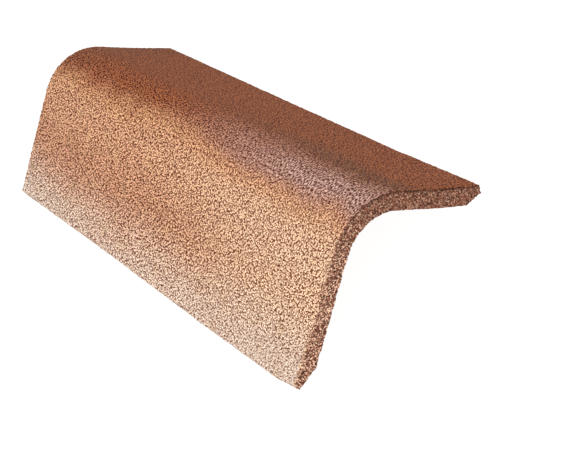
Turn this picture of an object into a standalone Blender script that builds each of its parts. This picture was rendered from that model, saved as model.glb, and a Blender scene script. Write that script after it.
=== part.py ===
"""Verge tile: a bent plate of sand-faced concrete that caps the sloping side edge of a tiled roof.

The tile is one solid. Seen from its front end it is an angle with a rounded crown and two flat wings
of unequal length. It stands like a tent on the lower edges of the wings, the way it stands in a
stack. Its length runs along Y with the front end at -Y, the gable wing goes down towards -X and the
roof wing down towards +X. The origin is on the ground, below the middle of the tile.
"""

import math

import bpy
from mathutils import Matrix, Vector

# Driving dimensions, in metres and radians
TILE_LENGTH = 0.420
THICKNESS = 0.014
INSIDE_ANGLE = math.radians(98.0)

# The rounded crown's outer skin. The inner skin has the same centre.
CROWN_RADIUS = 0.048

# Each wing runs from the line where the two outer skins would meet if the crown were sharp down to
# the foot of its tip.
GABLE_WING = 0.139
ROOF_WING = 0.120

# A wing's tip is a beak: the outer skin stops short of the foot, a narrow land slants down to the
# foot, and a chamfer goes back from the foot to the inner skin.
TIP_SETBACK = 0.003
TIP_LAND = 0.006
GABLE_CHAMFER_RUN = 0.0165
ROOF_CHAMFER_RUN = 0.0125

# Every arris is slightly rounded.
ARRIS_RADIUS = 0.0012

# Facets, the bend above which an edge is an arris, and the bend below which two faces are one
CROWN_FACETS = 24
ARRIS_FACETS = 2
ARRIS_BEND = math.radians(12)
FLAT_BEND = math.radians(0.5)

# Corners of the caps and the sides closer than this are one
WELD_DISTANCE = 0.00001

# Sand-faced concrete, orange-buff
CONCRETE_SRGB = (0.74, 0.53, 0.41)
CONCRETE_ROUGHNESS = 0.92

# Which way each wing goes from the crown, along X
GABLE_SIDE = -1
ROOF_SIDE = 1


def linear(srgb):
    """A colour's linear values, with full opacity, from its sRGB values."""
    return [((c + 0.055) / 1.055) ** 2.4 if c > 0.04045 else c / 12.92 for c in srgb] + [1.0]


def clear_scene():
    for obj in list(bpy.data.objects):
        bpy.data.objects.remove(obj, do_unlink=True)


def wing_slope():
    """How far each wing's skin falls below the level, before the tile is stood on its feet."""
    return (math.pi - INSIDE_ANGLE) / 2


def crown_arc(radius):
    """Points of a crown skin from the gable side to the roof side, both ends tangent to their wings."""
    slope = wing_slope()
    centre = Vector((0, -CROWN_RADIUS / math.cos(slope)))
    turns = [slope * (2 * i / CROWN_FACETS - 1) for i in range(CROWN_FACETS + 1)]
    return [centre + radius * Vector((math.sin(turn), math.cos(turn))) for turn in turns]


def tip(side, wing, chamfer_run):
    """The three points that end a wing: the outer corner, the foot and the chamfer's end."""
    slope = wing_slope()
    down = Vector((side * math.cos(slope), -math.sin(slope)))
    through = Vector((-side * math.sin(slope), -math.cos(slope)))
    return [
        down * (wing - TIP_SETBACK),
        down * wing + through * TIP_LAND,
        down * (wing - chamfer_run) + through * THICKNESS,
    ]


def gable_tip():
    return tip(GABLE_SIDE, GABLE_WING, GABLE_CHAMFER_RUN)


def roof_tip():
    return tip(ROOF_SIDE, ROOF_WING, ROOF_CHAMFER_RUN)


def section():
    """The tile's outline, as points across and up, clockwise from the gable wing's outer corner."""
    outer_corner, foot, chamfer_end = gable_tip()
    outer_skin = crown_arc(CROWN_RADIUS)
    inner_skin = crown_arc(CROWN_RADIUS - THICKNESS)
    return [outer_corner] + outer_skin + roof_tip() + inner_skin[::-1] + [chamfer_end, foot]


def extruded_section():
    """The section as a flat curve, drawn out to both sides by half the tile's length."""
    curve = bpy.data.curves.new("verge_tile", "CURVE")
    curve.dimensions = "2D"
    curve.fill_mode = "BOTH"
    curve.extrude = TILE_LENGTH / 2
    outline = section()
    spline = curve.splines.new("POLY")
    spline.points.add(len(outline) - 1)
    for point, place in zip(spline.points, outline):
        point.co = (place.x, place.y, 0, 1)
    spline.use_cyclic_u = True
    return curve


def round_arrises(tile):
    """Joins the curve's loose caps to its sides, makes each cap one face, then rounds the arrises."""
    weld = tile.modifiers.new("join caps", "WELD")
    weld.merge_threshold = WELD_DISTANCE
    merge = tile.modifiers.new("whole caps", "DECIMATE")
    merge.decimate_type = "DISSOLVE"
    merge.angle_limit = FLAT_BEND
    bevel = tile.modifiers.new("round arrises", "BEVEL")
    bevel.width = ARRIS_RADIUS
    bevel.segments = ARRIS_FACETS
    bevel.limit_method = "ANGLE"
    bevel.angle_limit = ARRIS_BEND


def standing_turn():
    """The turn about Y that sets the two feet level."""
    _, gable_foot, _ = gable_tip()
    _, roof_foot, _ = roof_tip()
    across = roof_foot - gable_foot
    return Matrix.Rotation(math.atan2(across.y, across.x), 4, "Y")


def stand_on_ground(tile):
    """Lays the curve's depth along Y, sets both feet level and puts the footprint over the origin."""
    tile.matrix_world = standing_turn() @ Matrix.Rotation(math.radians(90), 4, "X")
    bpy.context.view_layer.update()
    shaped = tile.evaluated_get(bpy.context.evaluated_depsgraph_get())
    corners = [shaped.matrix_world @ v.co for v in shaped.to_mesh().vertices]
    shaped.to_mesh_clear()
    xs = [c.x for c in corners]
    lowest = min(c.z for c in corners)
    tile.location = (-(min(xs) + max(xs)) / 2, 0, -lowest)


def concrete_material():
    material = bpy.data.materials.new("sand-faced concrete")
    material.use_nodes = True
    shader = material.node_tree.nodes["Principled BSDF"]
    shader.inputs["Base Color"].default_value = linear(CONCRETE_SRGB)
    shader.inputs["Roughness"].default_value = CONCRETE_ROUGHNESS
    shader.inputs["Metallic"].default_value = 0.0
    return material


def verge_tile(collection):
    curve = extruded_section()
    curve.materials.append(concrete_material())
    tile = bpy.data.objects.new("verge_tile", curve)
    collection.objects.link(tile)
    round_arrises(tile)
    stand_on_ground(tile)
    return tile


def main():
    clear_scene()
    collection = bpy.data.collections.new("verge tile")
    bpy.context.scene.collection.children.link(collection)
    tile = verge_tile(collection)
    bpy.context.view_layer.update()
    print("the tile's origin, in mm:", [round(1000 * c, 2) for c in tile.location])


main()
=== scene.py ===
# %% [markdown]
# # A sand-faced verge tile
# A verge tile covers the sloping side edge of a tiled roof. This one is concrete. It is one long strip with
# a rounded crown and two flat wings, faced with coarse sand and cut off square at both ends. The lesson
# sweeps its section into a fine mesh with Geometry Nodes, gives that mesh a real sandy relief, and then
# makes one finish for each kind of surface: the sand facing, the two cut ends and the underside.

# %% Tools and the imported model
import math
from functools import partial

import bpy
from mathutils import Matrix, Vector


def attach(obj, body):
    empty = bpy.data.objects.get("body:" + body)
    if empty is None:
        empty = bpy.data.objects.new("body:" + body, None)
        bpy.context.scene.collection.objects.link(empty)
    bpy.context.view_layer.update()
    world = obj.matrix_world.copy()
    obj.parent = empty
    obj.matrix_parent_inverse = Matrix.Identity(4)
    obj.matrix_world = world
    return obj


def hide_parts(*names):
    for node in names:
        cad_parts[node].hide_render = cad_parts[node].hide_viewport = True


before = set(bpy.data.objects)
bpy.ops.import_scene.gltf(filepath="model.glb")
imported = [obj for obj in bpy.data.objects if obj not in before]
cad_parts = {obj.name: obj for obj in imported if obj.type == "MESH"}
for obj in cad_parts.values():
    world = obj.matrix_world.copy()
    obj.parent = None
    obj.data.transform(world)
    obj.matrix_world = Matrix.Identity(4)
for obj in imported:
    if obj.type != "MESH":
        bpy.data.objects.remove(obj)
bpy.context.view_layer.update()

# %% [markdown]
# ## Camera
# The photograph looks down on the front end from the left, and the camera is rolled, so that the tile's
# length runs up and to the left. Five plain values describe such a view: the point that is aimed at,
# how far round and how high the camera stands, how far away, and how far it is rolled.

# %% Camera
AIM = Vector((-0.0146, -0.1306, 0.0350))
CAMERA_AZIMUTH = math.radians(16.27)
CAMERA_ELEVATION = math.radians(39.42)
CAMERA_DISTANCE = 0.9228
CAMERA_ROLL = math.radians(35.38)
LENS_MM = 81.5
SENSOR_MM = 36.0


def view_axes(azimuth, elevation):
    """Unit vectors towards the camera, level to its right, and up, before any roll."""
    level = Vector((-math.sin(azimuth), -math.cos(azimuth), 0))
    towards = level * math.cos(elevation) + Vector((0, 0, math.sin(elevation)))
    right = Vector((0, 0, 1)).cross(towards).normalized()
    return towards, right, towards.cross(right)


def place_camera():
    towards, right, up = view_axes(CAMERA_AZIMUTH, CAMERA_ELEVATION)
    rolled_up = up * math.cos(CAMERA_ROLL) + right * math.sin(CAMERA_ROLL)
    rolled_right = rolled_up.cross(towards)
    data = bpy.data.cameras.new("camera")
    data.sensor_fit = "HORIZONTAL"
    data.sensor_width = SENSOR_MM
    data.lens = LENS_MM
    camera = bpy.data.objects.new("camera", data)
    bpy.context.scene.collection.objects.link(camera)
    axes = Matrix((rolled_right, rolled_up, towards)).transposed().to_4x4()
    camera.matrix_world = Matrix.Translation(AIM + towards * CAMERA_DISTANCE) @ axes
    return camera


bpy.context.scene.camera = place_camera()
print("camera at, in m:", [round(c, 3) for c in bpy.context.scene.camera.location])

# %% [markdown]
# ## One helper for nodes
# Geometry Nodes and materials are both trees of nodes, so one small function serves both. It adds a node,
# gives it its settings, fills its inputs in order and hands back one output, which the next node can use.

# %% Node helper


def add(tree, kind, *values, out=0, at=None, **settings):
    """Adds a node, sets or links its shown inputs in order, or by name with at, and gives one output."""
    node = tree.nodes.new(kind)
    for name, setting in settings.items():
        setattr(node, name, setting)
    shown = [socket for socket in node.inputs if socket.enabled]
    wanted = list(zip(shown, values)) + [(node.inputs[name], value) for name, value in (at or {}).items()]
    for socket, value in wanted:
        for one in value if isinstance(value, list) else [value]:
            if isinstance(one, bpy.types.NodeSocket):
                tree.links.new(one, socket)
            elif one is not None:
                socket.default_value = one
    outputs = [socket for socket in node.outputs if socket.enabled]
    return outputs[out] if outputs else node


# Short names for the nodes and settings that come most often. A noise is given its place, its scale in
# waves per metre, its detail and its roughness. A range is given a value and the pair of levels where the
# mask starts and where it is full, and then what it is at each of them, if that isn't 0 and 1.
MATH = "ShaderNodeMath"
MIX = "ShaderNodeMix"
NOISE = "ShaderNodeTexNoise"
RANGE = "ShaderNodeMapRange"
SMOOTH = {"interpolation_type": "SMOOTHSTEP"}

# Which output of a node is wanted, where it isn't the first
Y_OUTPUT = 1
CURVE_POSITION = 1
OBJECT_COORDINATES = 3
ATTRIBUTE_VECTOR = 1

# %% [markdown]
# ## The section
# Seen from its end the tile is an angle. Both skins of the crown are arcs round one centre, and each wing
# ends in a beak: a narrow land slants to the foot, and a chamfer goes back to the inner skin. The skins are
# drawn here as two strings of points that both run from the gable foot over the crown to the roof foot.
# They could be one closed outline, but two strings can be paired point by point, which is what the cut
# ends need.

# %% The section's sizes, the same as the solid's
TILE_LENGTH = 0.420
THICKNESS = 0.014
INSIDE_ANGLE = math.radians(98.0)
CROWN_RADIUS = 0.048
GABLE_WING = 0.139
ROOF_WING = 0.120
TIP_SETBACK = 0.003
TIP_LAND = 0.006
GABLE_CHAMFER_RUN = 0.0165
ROOF_CHAMFER_RUN = 0.0125
SLOPE = (math.pi - INSIDE_ANGLE) / 2
GABLE_SIDE = -1
ROOF_SIDE = 1

# Two small differences from the solid, read from the photograph: the roof wing's foot is worn blunt, and
# the gable wing's wall is a little thicker where its chamfer starts.
FOOT_WEAR = 0.0008
GABLE_THICKENING = 0.0011

# Where the two outer skins would meet if the crown were sharp, across and up, on the standing tile
CORNER_PLACE = Vector((0.01271, 0.08858))
ARC_STEPS = 40
print("each wing's slope, in degrees:", round(math.degrees(SLOPE), 1))

# %% The two strings of points


def wing_point(side, along, through):
    """A point of a wing's section, from how far down the wing it lies and how deep below the outer skin."""
    down = Vector((side * math.cos(SLOPE), -math.sin(SLOPE)))
    inwards = Vector((-side * math.sin(SLOPE), -math.cos(SLOPE)))
    return down * along + inwards * through


def arc(radius):
    """Points of a crown skin, from the gable side to the roof side."""
    centre = Vector((0, -CROWN_RADIUS / math.cos(SLOPE)))
    turns = [SLOPE * (2 * i / ARC_STEPS - 1) for i in range(ARC_STEPS + 1)]
    return [centre + radius * Vector((math.sin(turn), math.cos(turn))) for turn in turns]


gable_foot = wing_point(GABLE_SIDE, GABLE_WING, TIP_LAND)
roof_foot = wing_point(ROOF_SIDE, ROOF_WING, TIP_LAND)
worn_roof_foot = wing_point(ROOF_SIDE, ROOF_WING - FOOT_WEAR, TIP_LAND)
outer_string = (
    [gable_foot, wing_point(GABLE_SIDE, GABLE_WING - TIP_SETBACK, 0)]
    + arc(CROWN_RADIUS)
    + [wing_point(ROOF_SIDE, ROOF_WING - TIP_SETBACK, 0), worn_roof_foot]
)
inner_string = (
    [gable_foot, wing_point(GABLE_SIDE, GABLE_WING - GABLE_CHAMFER_RUN, THICKNESS + GABLE_THICKENING)]
    + arc(CROWN_RADIUS - THICKNESS)
    + [wing_point(ROOF_SIDE, ROOF_WING - ROOF_CHAMFER_RUN, THICKNESS), worn_roof_foot]
)

# How far the line from foot to foot slopes before the tile is stood on its feet
feet_line = roof_foot - gable_foot
FEET_TURN = math.atan2(feet_line.y, feet_line.x)


def string_length(points):
    return sum((b - a).length for a, b in zip(points, points[1:]))


def standing(points):
    """The points with both feet level and the tile over the origin, as places in the model."""
    turn = Matrix.Rotation(-FEET_TURN, 2)
    placed = [turn @ point + CORNER_PLACE for point in points]
    return [Vector((point.x, 0, point.y)) for point in placed]


OUTER_LENGTH = string_length(outer_string)
GABLE_SHARE = string_length(outer_string[: 3 + ARC_STEPS // 2]) / OUTER_LENGTH
print("outer skin from foot to foot, in mm:", round(1000 * OUTER_LENGTH, 1))
print("share of it on the gable side of the crown's middle:", round(GABLE_SHARE, 3))

# %% The two strings as one curve object


def section_curve():
    curve = bpy.data.curves.new("tile section", "CURVE")
    curve.dimensions = "3D"
    for string in (outer_string, inner_string):
        places = standing(string)
        spline = curve.splines.new("POLY")
        spline.points.add(len(places) - 1)
        for point, place in zip(spline.points, places):
            point.co = (*place, 1)
    return bpy.data.objects.new("verge_tile_dressed", curve)


tile = section_curve()
bpy.context.scene.collection.objects.link(tile)
lows = [min(place.z for place in standing(string)) for string in (outer_string, inner_string)]
print("lowest points of the two strings, in mm:", [round(1000 * low, 2) for low in lows])

# %% [markdown]
# ## The sweep
# The outer skin is a flat grid whose two directions become the share of the way along the outer string and
# the share of the tile's length. Its squares are about half a sand grain, so that the relief can be real
# geometry. The underside is smooth, so three squares of its grid are drawn together into one, away from
# its borders. A cut end is a grid too: one way it follows both strings, the other way it goes through the
# wall. All borders match, so merging by distance closes the tile. Each sheet also keeps an attribute named
# skin, which holds how far across the skin, how far along the tile and how deep in the wall a point lies,
# and a flat layout for baking.

# %% The tree and its named inputs
# Relief of single 1 mm grains would take more triangles than the piece may have, so its waves are wider.
GRAIN_SPACING = 0.0023
SQUARE = 0.00118
UNDERSIDE_STEP = 3


def whole_steps(length):
    """How many squares fit in the length, as a number that the underside's step divides."""
    return UNDERSIDE_STEP * round(length / SQUARE / UNDERSIDE_STEP)


INPUTS = {
    "Length": ("NodeSocketFloat", TILE_LENGTH),
    "Columns": ("NodeSocketInt", whole_steps(OUTER_LENGTH)),
    "Rows": ("NodeSocketInt", whole_steps(TILE_LENGTH)),
    "Layers": ("NodeSocketInt", 10),
    "Underside step": ("NodeSocketInt", UNDERSIDE_STEP),
    "Grain spacing": ("NodeSocketFloat", GRAIN_SPACING),
    "Grain relief": ("NodeSocketFloat", 0.00075),
    "Swell": ("NodeSocketFloat", 0.0006),
    "Pit depth": ("NodeSocketFloat", 0.0009),
    "Arris wear": ("NodeSocketFloat", 0.0006),
    "Front curl": ("NodeSocketFloat", 0.0015),
    "Back curl": ("NodeSocketFloat", 0.0012),
    "Gable bow": ("NodeSocketFloat", 0.0018),
}
PARTS = {"facing": 0, "cut end": 1, "underside": 2}

tree = bpy.data.node_groups.new("verge tile", "GeometryNodeTree")
tree.interface.new_socket("Section", in_out="INPUT", socket_type="NodeSocketGeometry")
for name, (kind, _) in INPUTS.items():
    tree.interface.new_socket(name, in_out="INPUT", socket_type=kind)
tree.interface.new_socket("Tile", in_out="OUTPUT", socket_type="NodeSocketGeometry")
given = tree.nodes.new("NodeGroupInput").outputs
put = partial(add, tree)
print("columns and rows of the outer skin:", INPUTS["Columns"][1], INPUTS["Rows"][1])

# %% Grids and shares


def flat_grid(steps):
    """A grid of that many steps both ways, and the two shares, from 0 to 1, that its points stand for."""
    counts = [put(MATH, number, 1.0, operation="ADD") for number in steps]
    grid = put("GeometryNodeMeshGrid", 1.0, 1.0, *counts)
    middle = put("ShaderNodeSeparateXYZ", put("GeometryNodeInputPosition")).node
    shares = [put(MATH, middle.outputs[axis], 0.5, operation="ADD") for axis in "XY"]
    return grid, shares


def on_wider_step(share, steps):
    """The share moved to the nearest of the wider steps that lie inside the sheet's borders."""
    step = put(MATH, given["Underside step"], steps, operation="DIVIDE")
    nearest = put(MATH, share, put(MATH, step, 0.5, operation="MULTIPLY"), operation="ADD")
    nearest = put(MATH, nearest, step, operation="SNAP")
    return put("ShaderNodeClamp", nearest, step, put(MATH, 1.0, step, operation="SUBTRACT"))


def off_borders(share, steps):
    """1 where the share isn't on one of its two borders, and 0 where it is."""
    from_middle = put(MATH, put(MATH, share, 0.5, operation="SUBTRACT"), operation="ABSOLUTE")
    half_step = put(MATH, 0.5, steps, operation="DIVIDE")
    return put(MATH, put(MATH, 0.5, half_step, operation="SUBTRACT"), from_middle, operation="GREATER_THAN")


def drawn_together(shares, steps):
    """Both shares on wider steps, except on the sheet's four borders, where its neighbours are fine."""
    inside = put(MATH, *(off_borders(*pair) for pair in zip(shares, steps)), operation="MULTIPLY")
    wider = [on_wider_step(*pair) for pair in zip(shares, steps)]
    return [put(MIX, inside, *pair) for pair in zip(shares, wider)]


print("widest step of the underside, in mm:", round(1000 * UNDERSIDE_STEP * SQUARE, 2))

# %% Places on the tile


def on_string(which, share):
    """The place on the outer string, 0, or the inner string, 1, at that share of its length."""
    section = given["Section"]
    return put("GeometryNodeSampleCurve", section, None, share, which, out=CURVE_POSITION, mode="FACTOR")


def along_tile(place, share):
    """The place moved from the middle of the tile's length to that share of it."""
    middle = put(MATH, share, 0.5, operation="SUBTRACT")
    shift = put("ShaderNodeCombineXYZ", None, put(MATH, middle, given["Length"], operation="MULTIPLY"))
    return put("ShaderNodeVectorMath", place, shift, operation="ADD")


def sheet(grid, shares, place, depth, layout, part, flip=False):
    """Keeps what a sheet's points have to know, moves them to their place and turns the faces outwards."""
    across = put(MATH, shares[0], GABLE_SHARE, operation="SUBTRACT")
    across = put(MATH, across, OUTER_LENGTH, operation="MULTIPLY")
    along = put("ShaderNodeSeparateXYZ", place, out=Y_OUTPUT)
    skin = put("ShaderNodeCombineXYZ", across, along, depth)
    left, low, wide, high = layout
    sideways, upwards = shares if part == "cut end" else shares[::-1]
    spot_u = put(MATH, sideways, wide, left, operation="MULTIPLY_ADD")
    spot_v = put(MATH, upwards, high, low, operation="MULTIPLY_ADD")
    kept = (
        ("skin", skin, "FLOAT_VECTOR", "POINT"),
        ("OFBake", put("ShaderNodeCombineXYZ", spot_u, spot_v), "FLOAT2", "CORNER"),
        ("part", PARTS[part], "INT", "FACE"),
    )
    for name, value, kind, domain in kept:
        grid = put("GeometryNodeStoreNamedAttribute", grid, None, name, value, data_type=kind, domain=domain)
    grid = put("GeometryNodeSetPosition", grid, None, place)
    return put("GeometryNodeFlipFaces", grid) if flip else grid


columns, rows, layers = (given[name] for name in ("Columns", "Rows", "Layers"))

# The layout gives each sheet its left, low, width and height in the unit square.
FACING_LAYOUT = (0.01, 0.41, 0.98, 0.58)
UNDERSIDE_LAYOUT = (0.01, 0.135, 0.98, 0.265)
END_LAYOUTS = ((0.01, 0.01, 0.98, 0.05), (0.01, 0.07, 0.98, 0.05))
print("sheets:", 2 + len(END_LAYOUTS))

# %% The outer skin, the underside and the two cut ends
grid, shares = flat_grid((columns, rows))
outer_place = along_tile(on_string(0, shares[0]), shares[1])
facing_sheet = sheet(grid, shares, outer_place, 0.0, FACING_LAYOUT, "facing")

grid, shares = flat_grid((columns, rows))
shares = drawn_together(shares, (columns, rows))
underside_place = along_tile(on_string(1, shares[0]), shares[1])
underside_sheet = sheet(grid, shares, underside_place, 1.0, UNDERSIDE_LAYOUT, "underside", flip=True)

end_sheets = []
for where, layout in zip((0.0, 1.0), END_LAYOUTS):
    grid, shares = flat_grid((columns, layers))
    skins = (on_string(0, shares[0]), on_string(1, shares[0]))
    through = put(MIX, shares[1], *skins, data_type="VECTOR")
    end_place = along_tile(through, where)
    end_sheets.append(sheet(grid, shares, end_place, shares[1], layout, "cut end", flip=where == 0.0))
print("nodes with all four sheets:", len(tree.nodes))

# %% Joining the sheets
MERGE_DISTANCE = 0.00001
joined = put("GeometryNodeJoinGeometry", [facing_sheet, underside_sheet, *end_sheets])
closed = put("GeometryNodeMergeByDistance", joined, None, MERGE_DISTANCE)
print("nodes in the tree so far:", len(tree.nodes))

# %% [markdown]
# ## Sand relief, cut ends and wear
# Everything that stands proud or is missing is made by moving points, none is added or cut, so the closed
# mesh stays closed. The facing rises and falls from grain to grain. The whole skin swells a little, in
# waves of 36 mm. The cut ends have lost grains, which leaves pits. The arris between facing and cut end is
# worn, and the wings' lower edges are ragged. Two larger movements follow the photograph's outline: the
# roof wing's free edge has curled up a little at both ends, and the gable wing's lower edge bows outwards
# towards the front.

# %% Masks for the relief
FACING_DEPTH = 0.08
END_REACH = 0.0001
place = put("GeometryNodeInputPosition")
direction = put("GeometryNodeInputNormal")
y = put("ShaderNodeSeparateXYZ", place, out=Y_OUTPUT)
skin = put("GeometryNodeInputNamedAttribute", "skin", data_type="FLOAT_VECTOR")
across, _, depth = put("ShaderNodeSeparateXYZ", skin).node.outputs
on_facing = put(RANGE, depth, 0.0, FACING_DEPTH, 1.0, 0.0)
half_length = put(MATH, given["Length"], 0.5, operation="MULTIPLY")
to_end = put(MATH, half_length, put(MATH, y, operation="ABSOLUTE"), operation="SUBTRACT")
on_end = put(MATH, to_end, END_REACH, operation="LESS_THAN")
on_rim = put(MATH, on_end, on_facing, operation="MULTIPLY")
print("nodes with the masks:", len(tree.nodes))

# %% Grains and swell
# A noise seldom strays more than 0.2 from its mean, so this factor brings its whole swing to about 1.
FULL_SWING = 2.6
GRAIN_MEAN = 0.55

# The roof wing was smoothed more, so its sand stands less proud.
ROOF_RELIEF = 0.55
ROOF_BLEND = 0.03
SWELLS_PER_METRE = 28.0

grain_scale = put(MATH, 1.0, given["Grain spacing"], operation="DIVIDE")
grains = put(NOISE, place, grain_scale, 1.0, 0.6)
grains = put(MATH, grains, GRAIN_MEAN, operation="SUBTRACT")
roof_side = put(RANGE, across, 0.0, ROOF_BLEND, 1.0, ROOF_RELIEF)
relief = put(MATH, grains, given["Grain relief"], operation="MULTIPLY")
relief = put(MATH, relief, FULL_SWING, operation="MULTIPLY")
relief = put(MATH, put(MATH, relief, roof_side, operation="MULTIPLY"), on_facing, operation="MULTIPLY")

swell = put(MATH, put(NOISE, place, SWELLS_PER_METRE, 1.0, 0.5), 0.5, operation="SUBTRACT")
swell = put(MATH, swell, given["Swell"], operation="MULTIPLY")
print("swells about this wide, in mm:", round(1000 / SWELLS_PER_METRE))

# %% Pits and the worn arris
# Only the higher values of the noise are pits.
PITS_PER_METRE = 420.0
PIT_RIM = 0.46
PIT_FLOOR = 0.66
pits = put(NOISE, place, PITS_PER_METRE, 2.0, 0.65)
pits = put(RANGE, pits, PIT_RIM, PIT_FLOOR, 0.0, 1.0, **SMOOTH)
pits = put(MATH, put(MATH, pits, given["Pit depth"], operation="MULTIPLY"), on_end, operation="MULTIPLY")

# The wear along the arris comes in bites about 4 mm wide.
WEAR_PER_METRE = 260.0
WEAR_SWING = 1.6
worn = put(NOISE, place, WEAR_PER_METRE, 2.0, 0.6)
worn = put(MATH, put(MATH, worn, given["Arris wear"], operation="MULTIPLY"), on_rim, operation="MULTIPLY")
worn = put(MATH, worn, WEAR_SWING, operation="MULTIPLY")
print("pits about this wide, in mm:", round(1000 / PITS_PER_METRE, 1))

# %% The ragged lower edges
# The waves are 2.6 mm wide, which is a grain or two.
RAGGED_PER_METRE = 380.0
RAGGED_SWING = 4.0
FOOT_REACH = 0.0005
gable_foot_across = -GABLE_SHARE * OUTER_LENGTH
roof_foot_across = (1 - GABLE_SHARE) * OUTER_LENGTH
at_gable_foot = put(MATH, across, gable_foot_across + FOOT_REACH, operation="LESS_THAN")
at_roof_foot = put(MATH, across, roof_foot_across - FOOT_REACH, operation="GREATER_THAN")
at_foot = put(MATH, at_gable_foot, at_roof_foot, operation="MAXIMUM")
ragged = put(MATH, put(NOISE, place, RAGGED_PER_METRE, 1.0, 0.6), 0.5, operation="SUBTRACT")
ragged = put(MATH, ragged, given["Arris wear"], operation="MULTIPLY")
ragged = put(MATH, put(MATH, ragged, at_foot, operation="MULTIPLY"), RAGGED_SWING, operation="MULTIPLY")
worn = put(MATH, worn, ragged, operation="ADD")
print("feet across the skin, in mm:", round(1000 * gable_foot_across, 1), round(1000 * roof_foot_across, 1))

# %% Moving the points
# A pit goes straight into the end, and everything else follows the surface's own direction.
outwards = put(MATH, put(MATH, relief, swell, operation="ADD"), worn, operation="SUBTRACT")
moved = put("ShaderNodeVectorMath", direction, at={"Scale": outwards}, operation="SCALE")
inward_sign = put(MATH, put(MATH, y, operation="SIGN"), -1.0, operation="MULTIPLY")
pit_move = put("ShaderNodeCombineXYZ", None, put(MATH, pits, inward_sign, operation="MULTIPLY"))
moved = put("ShaderNodeVectorMath", moved, pit_move, operation="ADD")
relieved = put("GeometryNodeSetPosition", closed, None, None, moved)
print("nodes with the relief:", len(tree.nodes))

# %% How far down a wing a point lies
# Both the curl and the bow grow with the cube of the distance from the crown.
EDGE_POWER = 3.0
wing_start = CROWN_RADIUS * SLOPE


def wing_end(wing):
    """How far across the skin from the crown's middle a wing's outer corner lies."""
    return wing_start + wing - TIP_SETBACK - CROWN_RADIUS * math.tan(SLOPE)


def towards_edge(side, wing):
    """0 from the crown's end upwards and 1 at the wing's outer corner, rising most near the corner."""
    down_wing = put(RANGE, across, side * wing_start, side * wing_end(wing))
    return put(MATH, down_wing, EDGE_POWER, operation="POWER")


corners = [round(1000 * wing_end(wing), 1) for wing in (GABLE_WING, ROOF_WING)]
print("from the crown's middle to the wings' outer corners, in mm:", corners)

# %% The roof wing's curled corners
# The curl is nothing 110 mm in front of the middle, and it grows from there to both ends.
CURL_START = -0.11
at_roof_edge = towards_edge(ROOF_SIDE, ROOF_WING)
front_rise = put(RANGE, y, CURL_START, -TILE_LENGTH / 2, 0.0, given["Front curl"], **SMOOTH)
back_rise = put(RANGE, y, CURL_START, TILE_LENGTH / 2, 0.0, given["Back curl"], **SMOOTH)
rise = put(MATH, put(MATH, front_rise, back_rise, operation="ADD"), at_roof_edge, operation="MULTIPLY")
roof_up = Vector((math.sin(SLOPE + FEET_TURN), 0, math.cos(SLOPE + FEET_TURN)))
curl = put("ShaderNodeVectorMath", tuple(roof_up), at={"Scale": rise}, operation="SCALE")
curled = put("GeometryNodeSetPosition", relieved, None, None, curl)
print("the roof wing's skin faces:", [round(c, 4) for c in roof_up])

# %% The gable wing's bowed edge
# Its lower edge bows outwards towards the front, and its front corner is drawn back.
BOW_START = 0.10
BOW_FULL = -0.13
CORNER_START = -0.188
CORNER_SHARE = -0.3
at_gable_edge = towards_edge(GABLE_SIDE, GABLE_WING)
bow = put(RANGE, y, BOW_START, BOW_FULL, 0.0, given["Gable bow"], **SMOOTH)
corner = put(RANGE, y, CORNER_START, -TILE_LENGTH / 2, 1.0, CORNER_SHARE)
bow = put(MATH, put(MATH, bow, corner, operation="MULTIPLY"), at_gable_edge, operation="MULTIPLY")
bow_move = put("ShaderNodeVectorMath", (-1.0, 0.0, 0.0), at={"Scale": bow}, operation="SCALE")
bowed = put("GeometryNodeSetPosition", curled, None, None, bow_move)

# Nothing goes below the ground that the feet stand on.
x, y, z = (put("ShaderNodeSeparateXYZ", place).node.outputs[axis] for axis in "XYZ")
on_ground = put("ShaderNodeCombineXYZ", x, y, put(MATH, z, 0.0, operation="MAXIMUM"))
stood = put("GeometryNodeSetPosition", bowed, None, on_ground)
print("nodes with the curl and the bow:", len(tree.nodes))

# %% [markdown]
# ## Finishes
# The tile is one material right through, coloured concrete, but three surfaces look different. The facing
# is coarse sand stuck in a film of coloured cement, with darker and paler flashes. The cut ends show the
# raw mix: brown cement, cream grains and near-black pits. The underside was smoothed by the mould. A
# photograph could be laid over the mesh, but nodes stay sharp at any distance and can be changed zone by
# zone.

# %% Helpers for colours and finishes
CONCRETE_SPECULAR = 0.25


def paint(hex_code):
    """A colour's linear values, with full opacity, from its sRGB hex code."""
    values = [int(hex_code[i : i + 2], 16) / 255 for i in (1, 3, 5)]
    return (*(v / 12.92 if v <= 0.04045 else ((v + 0.055) / 1.055) ** 2.4 for v in values), 1.0)


def new_finish(name, roughness):
    """An empty material of that name, its shader, and the node helper held to its tree."""
    material = bpy.data.materials.new(name)
    material.use_nodes = True
    shader = material.node_tree.nodes["Principled BSDF"]
    shader.inputs["Roughness"].default_value = roughness
    shader.inputs["Specular IOR Level"].default_value = CONCRETE_SPECULAR
    return material, shader, partial(add, material.node_tree)


RGB = {"data_type": "RGBA"}
TINT = {"data_type": "RGBA", "blend_type": "MULTIPLY"}
WHITE = paint("#FFFFFF")
print("white, linear:", WHITE)
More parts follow.
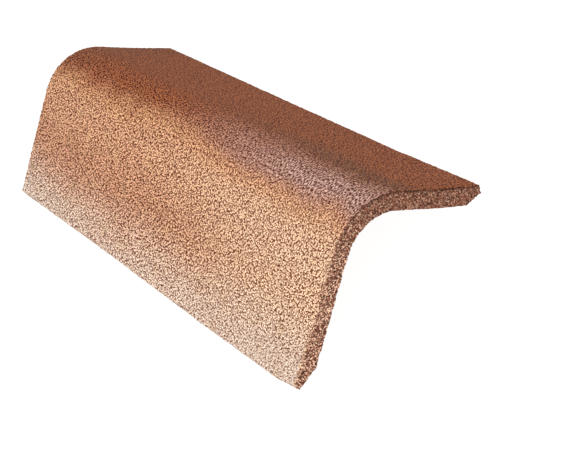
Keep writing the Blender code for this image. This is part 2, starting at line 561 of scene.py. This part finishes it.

# %% [markdown]
# ### The sand facing
# Quartz sand of one to two millimetres lies in coloured cement. Its grains catch the light and the gaps
# between them lie in shade, and both are painted into the colour: painted light on the grains and painted
# shade in the gaps. The colour changes slowly over the tile: the gable wing is buff and paler towards
# its edge and the front, an orange band runs along the crown, a violet-grey flash lies on the crown's
# front half, and the roof wing is red-brown. Each of these is one colour and one soft mask. The masks
# read the skin attribute, so that a zone keeps its place on the bent tile.

# %% Places and drift on the facing
# The zones wander by a few millimetres, in waves of 45 mm, so that none of them looks ruled.
DRIFTS_PER_METRE = 22.0
DRIFT_REACH = 0.030
FRONT_LEVELS = (0.060, -0.176)
SAND_ROUGHNESS = 0.90
facing, shader, put = new_finish("sand_facing", SAND_ROUGHNESS)
place = put("ShaderNodeTexCoord", out=OBJECT_COORDINATES)
skin = put("ShaderNodeAttribute", attribute_name="skin", out=ATTRIBUTE_VECTOR)
across, along, _ = put("ShaderNodeSeparateXYZ", skin).node.outputs
drift = put(NOISE, place, DRIFTS_PER_METRE, 2.0, 0.55)
drift = put(MATH, put(MATH, drift, 0.5, operation="SUBTRACT"), DRIFT_REACH, operation="MULTIPLY")
across_drifted = put(MATH, across, drift, operation="ADD")
to_front = put(RANGE, along, *FRONT_LEVELS, **SMOOTH)
print("drift nodes:", len(facing.node_tree.nodes))

# %% Bands along the tile
# Each band's middle and half width across the skin, in metres from the crown's middle. The gable wing is
# on the minus side.
BLOTCH_BAND = (-0.077, 0.040)
ORANGE_BAND = (-0.010, 0.020)
FLASH_BAND = (0.0055, 0.028)
SHADE_BAND = (0.034, 0.024)
SHOULDER_BAND = (-0.012, 0.026)


def band(middle, half_width):
    """A soft mask along the tile, 1 in the middle of a band across the skin and 0 at its sides."""
    off = put(MATH, put(MATH, across_drifted, middle, operation="SUBTRACT"), operation="ABSOLUTE")
    return put(RANGE, off, 0.0, half_width, 1.0, 0.0, **SMOOTH)


print("the flash's middle and half width, in mm:", [round(1000 * c, 1) for c in FLASH_BAND])

# %% The gable wing's zones
# The blotches are about 26 mm wide and lie towards the back.
BLOTCHES_PER_METRE = 38.0
BLOTCH_LEVELS = (0.30, 0.70)
BLOTCH_STRENGTHS = (0.6, 1.4)
GABLE_LEVELS = (0.0, -0.045)
gable_side = put(RANGE, across_drifted, *GABLE_LEVELS, **SMOOTH)
gable_front = put(MATH, to_front, gable_side, operation="MULTIPLY")
to_back = put(MATH, 1.0, to_front, operation="SUBTRACT")
blotches = put(NOISE, place, BLOTCHES_PER_METRE, 2.0, 0.5)
blotches = put(RANGE, blotches, *BLOTCH_LEVELS, *BLOTCH_STRENGTHS)
blotch_zone = put(MATH, band(*BLOTCH_BAND), to_back, operation="MULTIPLY")
blotch_zone = put(MATH, blotches, blotch_zone, operation="MULTIPLY", use_clamp=True)

# The pale edge is palest at the foot, and it reaches higher up the wing near both ends.
PALE_START = -0.0745
PALE_FULL = (-0.142, -0.124)
NEAR_ENDS = (0.10, 0.20)
from_middle = put(MATH, along, operation="ABSOLUTE")
pale_full = put(RANGE, from_middle, *NEAR_ENDS, *PALE_FULL)
edge_zone = put(RANGE, across_drifted, PALE_START, pale_full, **SMOOTH)
print("with the gable wing's zones:", len(facing.node_tree.nodes))

# %% The crown's and the roof wing's zones
ORANGE_STRENGTH = 0.6
ROOF_LEVELS = (-0.023, 0.009)
orange_zone = put(MATH, band(*ORANGE_BAND), ORANGE_STRENGTH, operation="MULTIPLY")
roof_zone = put(RANGE, across_drifted, *ROOF_LEVELS, **SMOOTH)
flash_zone = put(MATH, band(*FLASH_BAND), to_front, operation="MULTIPLY")

# A dark strip lies beside the flash, and the roof wing's back end is half as dark.
BACK_LEVELS = (0.160, 0.200)
BACK_SHADE = 0.5
shade_zone = put(MATH, band(*SHADE_BAND), to_front, operation="MULTIPLY")
back_end = put(RANGE, along, *BACK_LEVELS, 0.0, BACK_SHADE)
back_end = put(MATH, back_end, roof_zone, operation="MULTIPLY")
shade_zone = put(MATH, shade_zone, back_end, operation="MAXIMUM")
print("with all zones:", len(facing.node_tree.nodes))

# %% The facing's colours
BUFF_SAND = paint("#F1BA92")
PALE_FRONT = paint("#FBD5B0")
BROWN_BLOTCH = paint("#E0A884")
PALE_EDGE = paint("#FDE9D5")
ORANGE_SAND = paint("#FCBE87")
RED_BROWN_SAND = paint("#BC6F43")
VIOLET_FLASH = paint("#DAB0A0")
BROWN_SHADE = paint("#A56C4A")
YELLOW_STAIN = paint("#E6C089")

colour = BUFF_SAND
for zone, zone_colour in (
    (gable_front, PALE_FRONT),
    (blotch_zone, BROWN_BLOTCH),
    (edge_zone, PALE_EDGE),
    (orange_zone, ORANGE_SAND),
    (roof_zone, RED_BROWN_SAND),
    (shade_zone, BROWN_SHADE),
    (flash_zone, VIOLET_FLASH),
):
    colour = put(MIX, zone, colour, zone_colour, **RGB)

# Faint stains about 13 mm wide, none of them on the roof wing
STAINS_PER_METRE = 75.0
STAIN_LEVELS = (0.54, 0.72)
STAIN_STRENGTH = 0.3
stain = put(RANGE, put(NOISE, place, STAINS_PER_METRE, 2.0, 0.5), *STAIN_LEVELS, **SMOOTH)
stain = put(MATH, stain, STAIN_STRENGTH, operation="MULTIPLY")
off_roof = put(MATH, 1.0, roof_zone, operation="SUBTRACT")
stain = put(MATH, stain, off_roof, operation="MULTIPLY")
colour = put(MIX, stain, colour, YELLOW_STAIN, **RGB)
print("with the colours:", len(facing.node_tree.nodes))

# %% The facing's grains
# Each cell is one grain with its own lightness. The middle of each grain is painted lighter, as painted
# light on its top, and the gaps between grains are painted dark, as painted shade. The cells are longer
# along the tile than across it, and they lie askew and irregular, so that they form no rows.
GRAIN_SIZE = 0.0014
GRAIN_DRAWN = 1.4
GRAIN_TURN = 0.5
GRAIN_RANDOMNESS = {"Randomness": 0.85}
GRAIN_EDGE = (0.60, 0.24)
GRAIN_LIGHTNESS = (0.5, 1.15)
drawn = put("ShaderNodeMapping", skin, None, (0.0, 0.0, GRAIN_TURN), (1.0, 1 / GRAIN_DRAWN, 1.0))
cells = put("ShaderNodeTexVoronoi", drawn, 1 / GRAIN_SIZE, at=GRAIN_RANDOMNESS, voronoi_dimensions="2D")
cells = cells.node.outputs
chance = put("ShaderNodeSeparateColor", cells["Color"])
body = put(RANGE, cells["Distance"], *GRAIN_EDGE)
lightness = put(RANGE, chance, 0.0, 1.0, *GRAIN_LIGHTNESS)
grain = put(MATH, body, lightness, operation="MULTIPLY")

# Fine painted glints break up the painted shade in the gaps, which would look like cracks if they all
# joined.
GLINT_SPACING = 0.0011
GLINT_LEVELS = (0.41, 0.66)
GLINT_SHARES = (0.28, 0.42)
glints = put(RANGE, put(NOISE, skin, 1 / GLINT_SPACING, 0.0, 0.5), *GLINT_LEVELS)
grain = put(MIX, put(RANGE, to_front, 0.0, 1.0, *GLINT_SHARES), grain, glints)
print("with the grains:", len(facing.node_tree.nodes))

# %% Fine wrinkles across the crown, most of them on the flash, painted as streaks of light and shade
# The wrinkles are painted highlights and painted shade in the colour, and they also go into the bump.
WRINKLE_SPACING = 0.0011
WRINKLE_DRAWN = 2.0
WRINKLE_LEVELS = (0.42, 0.62)
WRINKLES_ON_FLASH = 0.6
WRINKLES_ON_SHOULDER = 0.3
spread = put("ShaderNodeMapping", skin, None, None, (1 / WRINKLE_DRAWN, 1.0, 1.0))
wrinkles = put(RANGE, put(NOISE, spread, 1 / WRINKLE_SPACING, 0.0, 0.5), *WRINKLE_LEVELS)
on_shoulder = put(MATH, band(*SHOULDER_BAND), WRINKLES_ON_SHOULDER, operation="MULTIPLY")
on_flash = put(MATH, flash_zone, WRINKLES_ON_FLASH, operation="MULTIPLY")
wrinkled = put(MATH, on_flash, on_shoulder, operation="MAXIMUM")
grain = put(MIX, wrinkled, grain, wrinkles)
print("with the wrinkles:", len(facing.node_tree.nodes))

# %% How strongly the grains show
# Each pair is the contrast at the back and at the front, that is, how strong the painted light on the grains
# and the painted shade in the gaps are. The pale edge has less, and the flash more.
MEAN_GRAIN = 0.40
GABLE_CONTRAST = (2.4, 1.6)
ROOF_CONTRAST = (1.3, 2.2)
ROOF_WING_LEVELS = (0.012, 0.030)
EDGE_FACTOR = 0.55
FLASH_FACTOR = 1.25
# The gaps' colour is painted shade between the grains.
GAP_SHADE = paint("#622F0D")
contrast = put(RANGE, to_front, 0.0, 1.0, *GABLE_CONTRAST)
contrast = put(MATH, contrast, put(RANGE, edge_zone, 0.0, 1.0, 1.0, EDGE_FACTOR), operation="MULTIPLY")
roof_contrast = put(RANGE, to_front, 0.0, 1.0, *ROOF_CONTRAST)
contrast = put(MIX, put(RANGE, across_drifted, *ROOF_WING_LEVELS), contrast, roof_contrast)
contrast = put(MATH, contrast, put(RANGE, flash_zone, 0.0, 1.0, 1.0, FLASH_FACTOR), operation="MULTIPLY")
centred = put(MATH, put(MATH, grain, MEAN_GRAIN, operation="SUBTRACT"), contrast, operation="MULTIPLY")
grain_shown = put(MATH, centred, MEAN_GRAIN, operation="ADD", use_clamp=True)
tone = put(MIX, grain_shown, GAP_SHADE, WHITE, **RGB)
colour = put(MIX, 1.0, colour, tone, **TINT)
print("with the contrast:", len(facing.node_tree.nodes))

# %% Dark specks
# About one cell in nine holds a dark speck 2 mm wide.
SPECKS_PER_METRE = 260.0
SPECK_CHANCE = (0.88, 0.90)
SPECK_EDGE = (0.30, 0.22)
SPECK_STRENGTH = 0.7
SPECK_BROWN = paint("#4A2C22")
specks = put("ShaderNodeTexVoronoi", place, SPECKS_PER_METRE)
chosen = put(RANGE, put("ShaderNodeSeparateColor", specks.node.outputs["Color"]), *SPECK_CHANCE)
dot = put(RANGE, specks, *SPECK_EDGE, **SMOOTH)
speck = put(MATH, put(MATH, chosen, dot, operation="MULTIPLY"), SPECK_STRENGTH, operation="MULTIPLY")
colour = put(MIX, speck, colour, SPECK_BROWN, **RGB)
facing.node_tree.links.new(colour, shader.inputs["Base Color"])
print("with the specks:", len(facing.node_tree.nodes))

# %% The facing's gloss and fine relief
# The flash is a little glossier than the rest of the sand.
FLASH_ROUGHNESS = 0.66
GRAIN_BUMP_DEPTH = 0.0005
rough = put(RANGE, flash_zone, 0.0, 1.0, SAND_ROUGHNESS, FLASH_ROUGHNESS)
facing.node_tree.links.new(rough, shader.inputs["Roughness"])
bump = put("ShaderNodeBump", at={"Strength": 0.7, "Distance": GRAIN_BUMP_DEPTH, "Height": grain_shown})
facing.node_tree.links.new(bump, shader.inputs["Normal"])
print("sand facing:", len(facing.node_tree.nodes), "nodes")

# %% [markdown]
# ### The cut ends
# A blade went through the raw mix. Brown cement holds cream grains, and grains that were pulled out have
# left pits, whose near-black is painted shade. Along the crown and the roof wing a broken dark line of such
# painted shade follows the worn outer arris, and along the gable wing a torn film of the pale facing does.

# %% Cut ends: cement and grains
AGGREGATE_SIZE = 0.0010
GABLE_PART = (0.02, -0.05)
BROWN_CEMENT = paint("#74412D")
CREAM_AGGREGATE = paint("#FFD2B2")
PIT_SHADE = paint("#260F09")
cut, shader, put = new_finish("cut_concrete", 0.95)
place = put("ShaderNodeTexCoord", out=OBJECT_COORDINATES)
skin = put("ShaderNodeAttribute", attribute_name="skin", out=ATTRIBUTE_VECTOR)
across, _, depth = put("ShaderNodeSeparateXYZ", skin).node.outputs
on_gable = put(RANGE, across, *GABLE_PART)

# The grains are bright on the gable wing and duller on the roof wing. The darkest cells are bare cement.
GRAIN_BRIGHTNESS = (0.50, 1.25)
AGGREGATE_EDGE = (0.70, 0.35)
AGGREGATE_CHANCE = (0.15, 0.85)
cells = put("ShaderNodeTexVoronoi", place, 1 / AGGREGATE_SIZE).node.outputs
chance, other_chance, _ = put("ShaderNodeSeparateColor", cells["Color"]).node.outputs
body = put(RANGE, cells["Distance"], *AGGREGATE_EDGE)
grain = put(MATH, body, put(RANGE, chance, *AGGREGATE_CHANCE), operation="MULTIPLY")
brightness = put(RANGE, on_gable, 0.0, 1.0, *GRAIN_BRIGHTNESS)
grain = put(MATH, grain, brightness, operation="MULTIPLY", use_clamp=True)
colour = put(MIX, grain, BROWN_CEMENT, CREAM_AGGREGATE, **RGB)
print("cut ends so far:", len(cut.node_tree.nodes), "nodes")

# %% Cut ends: pits where a grain was pulled out
# About a quarter of the grains are gone, and nearly all of them at the dark part of the outer arris. Each
# pit is painted near-black as the shade in its hole, so the dense pits along the arris paint a line of shade
# there.
PULLED_OUT = (0.24, 0.95)
PIT_EDGE = (0.62, 0.42)
DARK_LINE = (0.06, 0.16)
DARK_LINE_END = (0.3, 0.9)
at_skin = put(RANGE, depth, *DARK_LINE, 1.0, 0.0)
off_gable = put(RANGE, on_gable, *DARK_LINE_END, 1.0, 0.0)
near_arris = put(MATH, at_skin, off_gable, operation="MULTIPLY")
pulled_out = put(RANGE, near_arris, 0.0, 1.0, *PULLED_OUT)
pit = put(MATH, other_chance, pulled_out, operation="LESS_THAN")
pit = put(MATH, pit, put(RANGE, cells["Distance"], *PIT_EDGE), operation="MULTIPLY")
colour = put(MIX, pit, colour, PIT_SHADE, **RGB)
print("cut ends with pits:", len(cut.node_tree.nodes), "nodes")

# %% Cut ends: the torn film on the gable wing, and the fine relief
# The tears are 2.4 mm wide, and the grit in the relief is 1.4 mm.
TEARS_PER_METRE = 420.0
TEAR_REACH = 0.9
FILM_EDGE = (0.14, 0.08)
FILM_START = (0.5, 1.0)
CUT_GRIT_PER_METRE = 700.0
CUT_BUMP_DEPTH = 0.0006
torn = put(MATH, put(NOISE, place, TEARS_PER_METRE, 1.0, 0.5), 0.5, operation="SUBTRACT")
torn = put(MATH, torn, TEAR_REACH, depth, operation="MULTIPLY_ADD")
film = put(MATH, put(RANGE, torn, *FILM_EDGE), put(RANGE, on_gable, *FILM_START), operation="MULTIPLY")
# The film keeps the facing's painted shade in the gaps between its grains.
film_tone = put(MIX, body, GAP_SHADE, WHITE, **RGB)
colour = put(MIX, film, colour, put(MIX, 1.0, film_tone, PALE_FRONT, **TINT), **RGB)
cut.node_tree.links.new(colour, shader.inputs["Base Color"])
height = put(MATH, put(NOISE, place, CUT_GRIT_PER_METRE, 2.0, 0.6), pit, operation="SUBTRACT")
bump = put("ShaderNodeBump", at={"Strength": 0.9, "Distance": CUT_BUMP_DEPTH, "Height": height})
cut.node_tree.links.new(bump, shader.inputs["Normal"])
print("cut ends:", len(cut.node_tree.nodes), "nodes")

# %% [markdown]
# ### The underside
# The mould pressed the underside smooth. It has the colour of the mix, faint streaks along the tile from
# the pressing, and small air holes. It faces away from the photograph's camera, so this finish is a guess.

# %% Underside: streaks and clouds
# The streaks are 6 mm wide and about 100 mm long, the clouds 33 mm wide, and the grit 1.4 mm.
STREAKS_PER_METRE = 170.0
STREAK_SQUEEZE = 0.06
CLOUDS_PER_METRE = 30.0
STREAK_LEVELS = (0.75, 1.25)
GRIT_PER_METRE = 700.0
GRIT_LEVELS = (0.35, 0.65)
GRIT_STRENGTH = 0.45
MOULDED_BROWN = paint("#A06C50")
MOULDED_BUFF = paint("#BF8A6A")
GRIT_BROWN = paint("#7A4F3A")
under, shader, put = new_finish("moulded_concrete", 0.9)
place = put("ShaderNodeTexCoord", out=OBJECT_COORDINATES)
stretched = put("ShaderNodeMapping", place, None, None, (1.0, STREAK_SQUEEZE, 1.0))
streaks = put(NOISE, stretched, STREAKS_PER_METRE, 3.0, 0.6)
clouds = put(NOISE, place, CLOUDS_PER_METRE, 3.0, 0.6)
mixed = put(MATH, streaks, clouds, operation="ADD")
colour = put(MIX, put(RANGE, mixed, *STREAK_LEVELS), MOULDED_BROWN, MOULDED_BUFF, **RGB)
grit = put(RANGE, put(NOISE, place, GRIT_PER_METRE, 2.0, 0.6), *GRIT_LEVELS)
colour = put(MIX, put(MATH, grit, GRIT_STRENGTH, operation="MULTIPLY"), colour, GRIT_BROWN, **RGB)
print("underside so far:", len(under.node_tree.nodes), "nodes")

# %% Underside: air holes and the fine relief
# About one cell in five holds a hole 2 to 3 mm wide, painted dark brown as the shade inside it.
HOLES_PER_METRE = 110.0
HOLE_CHANCE = (0.80, 0.82)
HOLE_EDGE = (0.16, 0.10)
HOLE_SHADE = paint("#3A231A")
UNDERSIDE_BUMP_DEPTH = 0.0004
holes = put("ShaderNodeTexVoronoi", place, HOLES_PER_METRE)
chosen = put(RANGE, put("ShaderNodeSeparateColor", holes.node.outputs["Color"]), *HOLE_CHANCE)
hole = put(MATH, put(RANGE, holes, *HOLE_EDGE), chosen, operation="MULTIPLY")
colour = put(MIX, hole, colour, HOLE_SHADE, **RGB)
under.node_tree.links.new(colour, shader.inputs["Base Color"])
height = put(MATH, put(MATH, streaks, grit, operation="ADD"), hole, operation="SUBTRACT")
bump = put("ShaderNodeBump", at={"Strength": 0.5, "Distance": UNDERSIDE_BUMP_DEPTH, "Height": height})
under.node_tree.links.new(bump, shader.inputs["Normal"])
print("underside:", len(under.node_tree.nodes), "nodes")

# %% [markdown]
# ## From the tree to a plain mesh
# The tree ends by giving each part its finish. The export can't read a live tree, so the modifier's result
# is copied into a plain mesh, and the curve that carried the tree is removed. A modifier's inputs are set
# by their identifiers, before the object is first evaluated.

# %% The tree's last nodes
put = partial(add, tree)
real = put("GeometryNodeRealizeInstances", stood)
part = put("GeometryNodeInputNamedAttribute", "part", data_type="INT")
real = put("GeometryNodeSetMaterial", real, None, facing)
for material, name in ((cut, "cut end"), (under, "underside")):
    chosen = put("FunctionNodeCompare", part, PARTS[name], data_type="INT", operation="EQUAL")
    real = put("GeometryNodeSetMaterial", real, chosen, material)
tree.links.new(real, tree.nodes.new("NodeGroupOutput").inputs["Tile"])
print("nodes in the whole tree:", len(tree.nodes))

# %% The finished mesh
modifier = tile.modifiers.new("verge tile", "NODES")
modifier.node_group = tree
for item in tree.interface.items_tree:
    if item.in_out == "INPUT" and item.name in INPUTS:
        modifier[item.identifier] = INPUTS[item.name][1]
shaped = tile.evaluated_get(bpy.context.evaluated_depsgraph_get())
mesh = bpy.data.meshes.new_from_object(shaped)
mesh.name = "verge_tile_dressed"

# The first material slot is the curve's own, and it is empty.
mesh.materials.pop(index=0)
curve = tile.data
bpy.data.objects.remove(tile, do_unlink=True)
bpy.data.curves.remove(curve)
tile = bpy.data.objects.new("verge_tile_dressed", mesh)
bpy.context.scene.collection.objects.link(tile)

# Faces are shaded smooth, except across an edge that bends by more than this.
SHARP_ANGLE = math.radians(62)
mesh.shade_smooth()
mesh.set_sharp_from_angle(angle=SHARP_ANGLE)
mesh.calc_loop_triangles()
print("dressed tile:", len(mesh.vertices), "points,", len(mesh.loop_triangles), "triangles")
print("materials:", mesh.materials[:], "layouts:", mesh.uv_layers.keys())

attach(tile, "root")
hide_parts("verge_tile")

# %% [markdown]
# ## Floor and light
# The photograph is a plain studio picture on pure white, with no shadow. A wide floor that glows like a lit
# white table gives that ground. An even white sky and one large soft lamp from the left give the soft
# modelling: the gable wing is brighter than the roof wing.

# %% Floor
FLOOR_HALF_SIDE = 20.0
FLOOR_GREY = paint("#707070")
FLOOR_GLOW = 0.95

scene = bpy.context.scene
scene.view_settings.view_transform = "Standard"
floor_mesh = bpy.data.meshes.new("floor")
signs = ((-1, -1), (1, -1), (1, 1), (-1, 1))
floor_corners = [(sx * FLOOR_HALF_SIDE, sy * FLOOR_HALF_SIDE, 0) for sx, sy in signs]
floor_mesh.from_pydata(floor_corners, [], [(0, 1, 2, 3)])
floor = bpy.data.objects.new("floor", floor_mesh)
scene.collection.objects.link(floor)
pale, shader, put = new_finish("pale_floor", 1.0)
shader.inputs["Base Color"].default_value = FLOOR_GREY
shader.inputs["Specular IOR Level"].default_value = 0.0
shader.inputs["Emission Color"].default_value = WHITE
shader.inputs["Emission Strength"].default_value = FLOOR_GLOW
floor_mesh.materials.append(pale)
print("floor's side, in m:", 2 * FLOOR_HALF_SIDE)

# %% Light
KEY_PLACE = Vector((-1.0, -0.55, 1.05))
KEY_SIDE = 1.0
KEY_POWER = 14.0
SKY_STRENGTH = 0.90

lamp = bpy.data.lights.new("key", "AREA")
lamp.shape = "SQUARE"
lamp.size = KEY_SIDE
lamp.energy = KEY_POWER
key = bpy.data.objects.new("key", lamp)
key.location = KEY_PLACE
key.rotation_euler = KEY_PLACE.to_track_quat("Z", "Y").to_euler()
scene.collection.objects.link(key)

world = bpy.data.worlds.new("studio")
scene.world = world
world.use_nodes = True
sky = world.node_tree.nodes["Background"].inputs
sky["Color"].default_value = WHITE
sky["Strength"].default_value = SKY_STRENGTH
print("lamp's distance from the origin, in m:", round(KEY_PLACE.length, 2))
